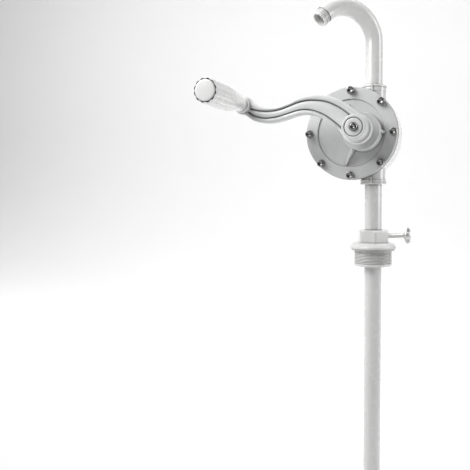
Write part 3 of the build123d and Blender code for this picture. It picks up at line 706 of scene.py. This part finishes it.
# ---------------------------------------------------------------- operators
class PUMP_OT_finishes(bpy.types.Operator):
    """Give every part of the pump its moulded, turned or rubber finish"""

    bl_idname = "pump.finishes"
    bl_label = "Apply Finishes"

    def execute(self, context):
        s = context.scene.pump_finish
        FINISHES["housing"] = moulded_plastic(
            "casing_plastic", tuple(s.housing), s.casing_roughness,
        )
        FINISHES["crank_plastic"] = moulded_plastic(
            "crank_plastic", tuple(s.crank), s.casing_roughness - 0.04, grain=0.8, rim=0.0006,
        )
        FINISHES["rotor_plastic"] = moulded_plastic("rotor_plastic", (0.35, 0.355, 0.36), 0.45, 0.5)
        FINISHES["white_plastic"] = glossy_plastic(
            "white_plastic", tuple(s.white), s.white_roughness,
        )
        FINISHES["stainless"] = turned_steel("stainless", tuple(s.steel), 0.22)
        FINISHES["cast_steel"] = turned_steel("plated_casting", (0.78, 0.78, 0.77), 0.46)
        FINISHES["brass"] = cut_brass("insert_brass", (0.66, 0.47, 0.20))
        FINISHES["ptfe"] = waxy_plastic("fluoroplastic", (0.80, 0.80, 0.78))
        FINISHES["rubber"] = black_rubber("seal_rubber", (0.02, 0.02, 0.02))
        FINISHES["gasket"] = waxy_plastic("gasket_sheet", (0.50, 0.49, 0.475))
        for entry in frame["record"]["subparts"]:
            part = NODES[entry["node"]]
            part.data.materials.clear()
            part.data.materials.append(FINISHES[entry["material_slot"]])
        return {"FINISHED"}


def millimetres(point):
    return tuple(v / MM for v in point)


def joint_spot(name):
    return Vector(millimetres(JOINTS[name]["pos_m"]))


def node_box(name):
    low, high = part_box(name)
    return Vector(millimetres(low)), Vector(millimetres(high))


class PUMP_OT_crank(bpy.types.Operator):
    """Cast the crank arm with its rails, hub and grip boss, and the disc and screw on the hub"""

    bl_idname = "pump.crank"
    bl_label = "Build Crank"

    def execute(self, context):
        s = context.scene.pump_parts
        shaft = joint_spot("crank_turn")
        grip = joint_spot("grip_spin")
        low, high = node_box("crank_arm")
        hub_face, back = low.y, high.y
        front = node_box("grip_collar")[1].y
        arm = lofted(arm_sections(front, back, s.rail_sink, ARM_SECTIONS))
        bmesh.ops.translate(arm, verts=arm.verts, vec=(shaft.x, 0, shaft.z))
        hub = turned(rounded([
            (SHAFT_HOLE_R, -back, 0.4), (HUB_R, -back, 1.6), (HUB_R, -front, 2.2),
            (18.6, -front, 1.6), (HUB_SHOULDER_R, -front + 2.4, 1.0),
            (HUB_SHOULDER_R, -hub_face, 1.3), (HUB_RECESS_R, -hub_face, 0.6),
            (13.3, -hub_face - HUB_RECESS_DEPTH, 0.3),
            (SHAFT_HOLE_R, -hub_face - HUB_RECESS_DEPTH, 0.2),
        ]), 128)
        move(hub, facing_front(shaft))
        boss = turned(rounded([
            (SPINDLE_HOLE_R, -back - 6.5, 0.2), (BOSS_NECK_R, -back - 6.5, 0.3),
            (BOSS_NECK_R, -back, 0.6), (GRIP_BOSS_R, -back, 1.4), (GRIP_BOSS_R, -front, 1.6),
            (SPINDLE_HOLE_R, -front, 0.3),
        ]), 96)
        move(boss, facing_front(grip))
        casting = united("crank_casting", [arm, hub, boss])
        finish_piece("crank_casting", casting, "crank_plastic", "crank", "crank_arm", crease=38)

        face = node_box("hub_washer")[0].y
        disc = turned(rounded([
            (DISC_HOLE_R, -face - 3.4, 0.1), (DISC_R, -face - 3.4, 0.3), (DISC_R, -face - 1.3, 0.7),
            (11.6, -face - 0.5, 1.0), (6.6, -face, 1.5), (6.2, -face - 0.5, 0.3),
            (DISC_HOLE_R, -face - 0.5, 0.1),
        ]), 96)
        move(disc, facing_front(shaft))
        finish_piece("hub_disc", disc, "crank_plastic", "crank", "hub_washer")
        screw = socket_screw(
            head_r=SCREW_HEAD_R, head_h=3.4, socket=2.0, depth=2.2, shank_r=2.9, shank_len=19.0,
            dome=1.7,
        )
        move(screw, facing_front(shaft, face + 0.02))
        finish_piece("hub_cap_screw", screw, "stainless", "crank", "hub_screw")
        return {"FINISHED"}


class PUMP_OT_grip(bpy.types.Operator):
    """Mould the fluted grip with its end cap and the collar behind it"""

    bl_idname = "pump.grip"
    bl_label = "Build Grip"

    def execute(self, context):
        s = context.scene.pump_parts
        spot = joint_spot("grip_spin")
        low, high = node_box("grip")
        base, end = -high.y, -low.y
        length = end - base

        def flute(radius, height, angle):
            if radius < FLUTED_FROM_R:
                return radius
            up = (height - base) / length
            fade = min(1.0, max(0.0, (up - 0.40) / 0.16))
            fade = fade * fade * (3 - 2 * fade)
            wave = 0.5 - 0.5 * math.cos(s.flutes * angle)
            return radius - s.flute_depth * fade * (1 - wave ** 0.6)

        skin = smooth_line([
            (11.5, base + 0.9), (11.9, base + 9), (13.0, base + 20), (14.8, base + 33),
            (16.3, base + 46), (17.1, base + 60), (17.35, base + 78), (17.25, base + 96),
            (17.15, end - 2.2),
        ], 60)
        profile = [(GRIP_BORE_R, base), (10.6, base), (11.2, base + 0.25)]
        profile += [tuple(p) for p in skin]
        profile += [
            (17.0, end - 1.3), (16.8, end - 0.5), (16.5, end - 0.2), (16.2, end - 0.3),
            (16.0, end - 0.9), (15.9, end - 2.4), (14.6, end - 2.4), (14.5, end - 1.0),
            (CAP_SEAT_R, end - 1.0), (CAP_SEAT_R, end - CAP_DEPTH), (GRIP_BORE_R, end - CAP_DEPTH),
        ]
        body = turned(profile, 240, flute)
        move(body, facing_front(spot))
        finish_piece("grip_moulding", body, "white_plastic", "handgrip", "grip", crease=50)

        cap_face = -node_box("grip_cap")[0].y
        cap = turned(rounded([
            (0.01, cap_face, 0), (12.8, cap_face - 0.1, 0.8), (CAP_R, cap_face - 0.9, 0.6),
            (CAP_R, end - 0.9, 0.2), (CAP_SEAT_R, end - 0.9, 0.1), (CAP_SEAT_R, end - 4, 0.2),
            (10.2, end - 4, 0.2), (10.2, end, 0.2), (0.01, end, 0),
        ]), 96)
        bmesh.ops.remove_doubles(cap, verts=cap.verts, dist=0.05)
        move(cap, facing_front(spot))
        finish_piece("grip_end_cap", cap, "white_plastic", "handgrip", "grip_cap")

        low, high = node_box("grip_collar")
        back, tip = -high.y, -low.y
        collar = turned(rounded([
            (COLLAR_BORE_R, back, 0.1), (COLLAR_R, back, 0.4), (COLLAR_R, tip - 5.9, 0.5),
            (12.0, tip - 5.0, 0.6), (COLLAR_NECK_R, tip - 5.0, 0.4), (COLLAR_NECK_R, tip, 0.3),
            (COLLAR_BORE_R, tip, 0.1),
        ]), 96)
        move(collar, facing_front(spot))
        finish_piece("grip_neck_collar", collar, "white_plastic", "crank", "grip_collar")
        return {"FINISHED"}


class PUMP_OT_cover_screws(bpy.types.Operator):
    """Turn the eight socket screws of the cover and the washers under their heads"""

    bl_idname = "pump.cover_screws"
    bl_label = "Build Cover Screws"

    def execute(self, context):
        s = context.scene.pump_parts
        low, high = node_box("cover_screws")
        seat = node_box("cover_washers")[0].y
        centre = (low + high) / 2
        reach = (high.x - low.x) / 2 - SCREW_HEAD_R
        screws = bmesh.new()
        washers = bmesh.new()
        for i in range(COVER_SCREWS):
            angle = math.radians(90 + 360 / COVER_SCREWS * i)
            place = (centre.x + reach * math.cos(angle), seat, centre.z + reach * math.sin(angle))
            turn = math.radians((37 * i) % 60)
            screw = socket_screw(
                head_r=SCREW_HEAD_R, head_h=6.0, socket=s.screw_socket, depth=3.4, shank_r=2.95,
                shank_len=26.0,
            )
            add_mesh(screws, screw, along((0, -1, 0), place, turn))
            ring = turned(rounded([
                (WASHER_HOLE_R, 0, 0.1), (WASHER_HOLE_R, -WASHER_THICK, 0.1),
                (WASHER_R, -WASHER_THICK, 0.2), (WASHER_R, 0, 0.5),
            ]), 64)
            add_mesh(washers, ring, along((0, -1, 0), place))
        finish_piece("cover_socket_screws", screws, "stainless", "head", "cover_screws", crease=40)
        finish_piece("cover_flat_washers", washers, "stainless", "head", "cover_washers")
        return {"FINISHED"}


class PUMP_OT_unions(bpy.types.Operator):
    """Mould the two union nuts of the casing, each with its grooves and locking lug"""

    bl_idname = "pump.unions"
    bl_label = "Build Union Nuts"

    def execute(self, context):
        nuts = (("inlet_nut", "inlet_union", True), ("outlet_nut", "outlet_union", False))
        for node, name, upward in nuts:
            low, high = node_box(node)
            radius = (high.x - low.x) / 2
            tall = high.z - low.z
            side = [
                (PIPE_HOLE_R, 0, 0.2), (radius - 1.2, 0, 0.7), (radius, 0.9, 0.5),
                (radius, 3.0, 0.4), (radius - 0.9, 3.3, 0.2), (radius - 0.9, 3.9, 0.2),
                (radius - 0.3, 4.2, 0.3), (radius - 0.3, tall, 0.5), (NUT_SEAT_R, tall, 0.2),
                (NUT_SEAT_R, NUT_FLOOR, 0.1), (PIPE_HOLE_R, NUT_FLOOR, 0.1),
            ]
            ring = turned(rounded(side), 128)
            lug = bmesh.new()
            corners = [
                (-LUG_HALF_WIDTH, 0.6), (LUG_HALF_WIDTH, 0.6),
                (LUG_HALF_WIDTH, tall + 3.8), (-LUG_HALF_WIDTH, tall + 3.8),
            ]
            outline = rounded(corners, 1.0)
            bottom = [lug.verts.new((x, -radius - 1.1, z)) for x, z in outline]
            top = [lug.verts.new((x, -LUG_INNER_R, z)) for x, z in outline]
            for j in range(len(outline)):
                k = (j + 1) % len(outline)
                lug.faces.new((bottom[j], bottom[k], top[k], top[j]))
            lug.faces.new(bottom[::-1])
            lug.faces.new(top)
            bmesh.ops.recalc_face_normals(lug, faces=lug.faces)
            nut = united(name, [ring, lug])
            if upward:
                bmesh.ops.translate(nut, verts=nut.verts, vec=(0, 0, low.z))
            else:
                flip = Matrix.Translation((0, 0, high.z)) @ Matrix.Diagonal((1, 1, -1, 1))
                move(nut, flip)
                bmesh.ops.reverse_faces(nut, faces=nut.faces)
            finish_piece(name, nut, "white_plastic", "head", node)
        return {"FINISHED"}


class PUMP_OT_spout_end(bpy.types.Operator):
    """Turn the rings of thread at the end of the spout"""

    bl_idname = "pump.spout_end"
    bl_label = "Build Spout End"

    def execute(self, context):
        s = context.scene.pump_parts
        mount = MOUNTS["spout_thread"]
        axis = Vector(mount["axis"]).normalized()
        half = mount["dims"]["length_mm"] / 2
        radius = mount["dims"]["r_mm"]
        tip = Vector(millimetres(mount["pos_m"])) + axis * half
        ridges = bmesh.new()
        for i in range(s.spout_ridges):
            start = -1.8 - RIDGE_PITCH * i
            ring = turned(rounded([
                (radius - 0.3, start, 0), (radius - 0.3, start - 1.8, 0),
                (radius, start - 1.8, 0.1), (radius + RIDGE_HEIGHT, start - 1.2, 0.2),
                (radius + RIDGE_HEIGHT, start - 0.6, 0.2), (radius, start, 0.1),
            ]), 96)
            add_mesh(ridges, ring, along(axis, tip))
        finish_piece("spout_thread_ridges", ridges, "white_plastic", "gooseneck")
        return {"FINISHED"}


class PUMP_OT_adapter(bpy.types.Operator):
    """Cut the bung adapter with its hexagon, flange and pipe thread"""

    bl_idname = "pump.adapter"
    bl_label = "Build Bung Adapter"

    def execute(self, context):
        s = context.scene.pump_parts
        low, high = node_box("bung_adapter")
        crest = MOUNTS["bung_thread"]["dims"]["r_mm"]

        def thread(radius, height, angle):
            if not (BUNG_THREAD_LOW < height < BUNG_THREAD_HIGH) or radius < crest - 0.4:
                return radius
            ramp = min(1.0, (height - BUNG_THREAD_LOW) / 2.0, (BUNG_THREAD_HIGH - height) / 2.0)
            phase = (height / s.bung_pitch - angle / (2 * math.pi)) % 1.0
            return radius - BUNG_THREAD_DEPTH * ramp * (1 - abs(2 * phase - 1))

        outer = [(28.2, low.z), (crest - 0.3, low.z + 1.4)]
        steps = 74
        for i in range(steps + 1):
            outer.append((crest, low.z + 1.9 + (-2.7 - low.z - 1.9) * i / steps))
        outer += [(28.6, -2.5), (28.6, 0.0)]
        inner = [
            (PIPE_HOLE_R, low.z + 0.6), (14.2, low.z), (18.2, low.z), (18.35, low.z + 0.2),
            (18.35, -4.2), (18.8, -4.0), (24.4, -4.0), (24.8, -4.2), (24.8, low.z + 0.2),
            (25.0, low.z),
        ]
        flange = rounded([
            (FLANGE_R, 0.0, 0.6), (FLANGE_R, 3.4, 0.5), (31.6, 8.6, 1.0), (24.9, 9.0, 0.3),
        ])
        shell = turned(inner + outer + flange + [(24.9, 9.6), (PIPE_HOLE_R, 9.6)], 160, thread)
        clamp = Vector(JOINTS["clamp_travel"]["axis"])
        turn = math.atan2(clamp.y, clamp.x) + math.radians(30)
        top = high.z

        def hexagon(radius, height, angle):
            if radius < 15:
                return radius
            step = math.pi / 3
            inside = (angle - turn) % step - step / 2
            flat = HEX_HALF_FLATS / math.cos(inside)
            corner = HEX_CORNER_R
            if height >= top - HEX_CHAMFER:
                corner = HEX_CORNER_R - 1.05 * (height - top + HEX_CHAMFER)
            return min(flat, corner, radius)

        side = [(PIPE_HOLE_R, 8.2), (30, 8.2)]
        side += [(30, 9.0 + i * 0.5) for i in range(34)]
        side += [(30, top - HEX_CHAMFER + 0.28 * i) for i in range(1, 10)]
        side += [(21.2, top - 0.05), (20.6, top), (14.3, top), (PIPE_HOLE_R, top - 0.6)]
        nut = turned(side, 216, hexagon)
        bmesh.ops.remove_doubles(nut, verts=nut.verts, dist=0.0005)
        boss = turned(rounded([
            (4.1, 21.0, 0.05), (6.6, 21.0, 0.1), (6.6, 23.1, 0.7), (4.1, 23.1, 0.3),
        ]), 64)
        place = Vector((0, 0, joint_spot("wing_turn").z))
        move(boss, along(clamp, place))
        body = united("bung_adapter_moulding", [shell, nut, boss])
        finish_piece(
            "bung_adapter_moulding", body, "white_plastic", "adapter", "bung_adapter", crease=28,
        )
        return {"FINISHED"}


class PUMP_OT_wing_screw(bpy.types.Operator):
    """Cut the clamp screw's thread and cast its two wings"""

    bl_idname = "pump.wing_screw"
    bl_label = "Build Wing Screw"

    def execute(self, context):
        clamp = Vector(JOINTS["clamp_travel"]["axis"]).normalized()
        height = joint_spot("wing_turn").z

        def thread(radius, reach, angle):
            if radius < STUD_R - 0.1 or not (STUD_THREAD_LOW < reach < STUD_THREAD_HIGH):
                return radius
            phase = (reach / STUD_PITCH - angle / (2 * math.pi)) % 1.0
            return radius - 0.5 * (1 - abs(2 * phase - 1))

        rows = [(0.01, 15.05), (1.75, 15.05), (1.75, 17.5), (3.4, 17.5)]
        rows += [(STUD_R, STUD_THREAD_LOW + 29.8 * i / 144) for i in range(145)]
        rows += [
            (STUD_R, 48.1), (5.6, 49.0), (6.3, 49.9), (6.5, 51.5), (6.3, 56.1), (5.7, 58.1),
            (4.4, 58.8), (0.01, 59.0),
        ]
        stud = turned(rows, 48, thread, loop=False)
        bmesh.ops.remove_doubles(stud, verts=stud.verts, dist=0.02)
        move(stud, along((1, 0, 0)))
        wings = []
        for side in (1, -1):
            spine = [(53.9, 1.0), (54.3, 5.0), (55.5, 9.0), (57.1, 11.6)]
            size = [(5.2, 3.6), (5.0, 3.0), (4.7, 2.5), (3.9, 2.1)]
            centre = smooth_line(spine, WING_STEPS)
            widths = smooth_line(size, WING_STEPS)
            sections = []
            for i, (spot, span) in enumerate(zip(centre, widths)):
                following = centre[min(i + 1, WING_STEPS - 1)]
                ahead = (following - centre[max(i - 1, 0)]).normalized()
                out = Vector((ahead.y, -ahead.x))
                close = math.sqrt(max(0.05, 1 - max(0.0, (i - 13) / 3.2) ** 2))
                ring = []
                for k in range(24):
                    a = 2 * math.pi * k / 24
                    shift = out * (span.x * close * math.cos(a))
                    thick = span.y * close * math.sin(a)
                    ring.append((spot.x + shift.x, thick, side * (spot.y + shift.y)))
                sections.append(ring)
            wings.append(lofted(sections))
        screw = united("wing_screw_casting", [stud, *wings])
        across = Vector((0, 0, 1)).cross(clamp)
        lay = Matrix((
            (clamp.x, across.x, 0, 0),
            (clamp.y, across.y, 0, 0),
            (0, 0, 1, height),
            (0, 0, 0, 1),
        ))
        move(screw, lay)
        casting = finish_piece(
            "wing_screw_casting", screw, "stainless", "wing", "wing_screw", crease=45,
        )
        casting.data.materials[0] = FINISHES["cast_steel"]
        return {"FINISHED"}


class PUMP_OT_studio(bpy.types.Operator):
    """Set up the pale floor, the soft lights and the camera"""

    bl_idname = "pump.studio"
    bl_label = "Build Studio"

    def execute(self, context):
        s = context.scene.pump_studio
        floor_z = CAD_LOW.z - s.floor_gap
        sweep = bpy.data.meshes.new("studio_sweep")
        profile = [(FLOOR_FRONT, floor_z), (FLOOR_BACK, floor_z)]
        for i in range(1, 13):
            a = math.radians(90 * i / 12)
            profile.append((
                FLOOR_BACK + FLOOR_BEND_R * math.sin(a),
                floor_z + FLOOR_BEND_R * (1 - math.cos(a)),
            ))
        profile.append((FLOOR_BACK + FLOOR_BEND_R, floor_z + WALL_HEIGHT))
        verts = [(x, y, z) for y, z in profile for x in (-FLOOR_HALF_WIDTH, FLOOR_HALF_WIDTH)]
        faces = [(2 * i, 2 * i + 1, 2 * i + 3, 2 * i + 2) for i in range(len(profile) - 1)]
        sweep.from_pydata(verts, [], faces)
        for poly in sweep.polygons:
            poly.use_smooth = True
        floor = bpy.data.objects.new("studio_sweep", sweep)
        context.collection.objects.link(floor)
        r = Recipe("studio_paper")
        paper = r.tint(r.noise(2.0), (0.90, 0.90, 0.90), (0.92, 0.92, 0.92))
        r.join(paper, r.shader.inputs["Base Color"])
        r.shader.inputs["Roughness"].default_value = 0.9
        r.shader.inputs["Specular IOR Level"].default_value = 0.1
        sweep.materials.append(r.material)

        def softbox(name, place, aim, size, power):
            data = bpy.data.lights.new(name, "AREA")
            data.shape = "RECTANGLE"
            data.size, data.size_y = size
            data.energy = power
            lamp = bpy.data.objects.new(name, data)
            lamp.location = place
            lamp.rotation_mode = "QUATERNION"
            lamp.rotation_quaternion = (Vector(aim) - Vector(place)).to_track_quat("-Z", "Y")
            context.collection.objects.link(lamp)

        softbox("key_softbox", (-0.62, -0.62, 0.74), LIGHT_AIM, (0.6, 0.6), s.key_power)
        softbox("right_softbox", (1.7, 0.1, 0.6), LIGHT_AIM, (0.7, 1.4), s.fill_power * 2.0)
        softbox("top_softbox", (0.1, 0.5, 2.0), LIGHT_AIM, (1.6, 1.2), s.fill_power * 0.7)
        softbox("paper_softbox", (-1.5, 1.5, 3.2), (-1.5, 6.0, 0.6), (9.0, 2.0), 250.0)

        world = bpy.data.worlds.new("studio_world")
        world.use_nodes = True
        tree = world.node_tree
        coords = tree.nodes.new("ShaderNodeTexCoord")
        facing = tree.nodes.new("ShaderNodeVectorMath")
        facing.operation = "DOT_PRODUCT"
        facing.inputs[1].default_value = Vector((0.56, -0.80, -0.15)).normalized()
        tree.links.new(coords.outputs["Generated"], facing.inputs[0])
        gap = tree.nodes.new("ShaderNodeMapRange")
        gap.interpolation_type = "SMOOTHSTEP"
        gap.inputs["From Min"].default_value = -0.10
        gap.inputs["From Max"].default_value = 0.65
        gap.inputs["To Min"].default_value = s.sky
        gap.inputs["To Max"].default_value = s.sky_gap
        tree.links.new(facing.outputs["Value"], gap.inputs["Value"])
        seen = tree.nodes.new("ShaderNodeLightPath")
        strength = tree.nodes.new("ShaderNodeMix")
        tree.links.new(seen.outputs["Is Camera Ray"], strength.inputs[0])
        tree.links.new(gap.outputs["Result"], strength.inputs[2])
        strength.inputs[3].default_value = 0.94
        background = tree.nodes["Background"]
        background.inputs["Color"].default_value = (1, 1, 1, 1)
        tree.links.new(strength.outputs[0], background.inputs["Strength"])
        context.scene.world = world
        context.scene.view_settings.view_transform = "Standard"

        data = bpy.data.cameras.new("camera")
        data.sensor_width = 36.0
        data.lens = s.lens
        data.shift_x, data.shift_y = CAMERA_SHIFT
        data.clip_start, data.clip_end = 0.05, 50.0
        camera = bpy.data.objects.new("camera", data)
        camera.location = CAMERA_PLACE
        camera.rotation_euler = (math.radians(CAMERA_PITCH), 0.0, math.radians(CAMERA_HEADING))
        context.collection.objects.link(camera)
        context.scene.camera = camera
        return {"FINISHED"}


class PUMP_PT_panel(bpy.types.Panel):
    """The pump's steps and settings"""

    bl_idname = "PUMP_PT_panel"
    bl_label = "Hand Pump"
    bl_space_type = "VIEW_3D"
    bl_region_type = "UI"
    bl_category = "Hand Pump"

    def draw(self, context):
        column = self.layout.column()
        for operator in OPERATORS:
            column.operator(operator.bl_idname)
        for name, group in SETTINGS.items():
            box = self.layout.box()
            for prop in group.__annotations__:
                box.prop(getattr(context.scene, name), prop)


SETTINGS = {
    "pump_finish": PumpFinishSettings,
    "pump_parts": PumpPartSettings,
    "pump_studio": PumpStudioSettings,
}
OPERATORS = (
    PUMP_OT_finishes, PUMP_OT_crank, PUMP_OT_grip, PUMP_OT_cover_screws, PUMP_OT_unions,
    PUMP_OT_spout_end, PUMP_OT_adapter, PUMP_OT_wing_screw, PUMP_OT_studio,
)


def register():
    for cls in (*SETTINGS.values(), *OPERATORS, PUMP_PT_panel):
        bpy.utils.register_class(cls)
    for name, group in SETTINGS.items():
        setattr(bpy.types.Scene, name, PointerProperty(type=group))


def unregister():
    for name in SETTINGS:
        delattr(bpy.types.Scene, name)
    for cls in reversed((*SETTINGS.values(), *OPERATORS, PUMP_PT_panel)):
        bpy.utils.unregister_class(cls)


def main():
    register()
    bpy.ops.pump.finishes()
    bpy.ops.pump.crank()
    bpy.ops.pump.grip()
    bpy.ops.pump.cover_screws()
    bpy.ops.pump.unions()
    bpy.ops.pump.spout_end()
    bpy.ops.pump.adapter()
    bpy.ops.pump.wing_screw()
    bpy.ops.pump.studio()


if __name__ == "__main__":
    main()
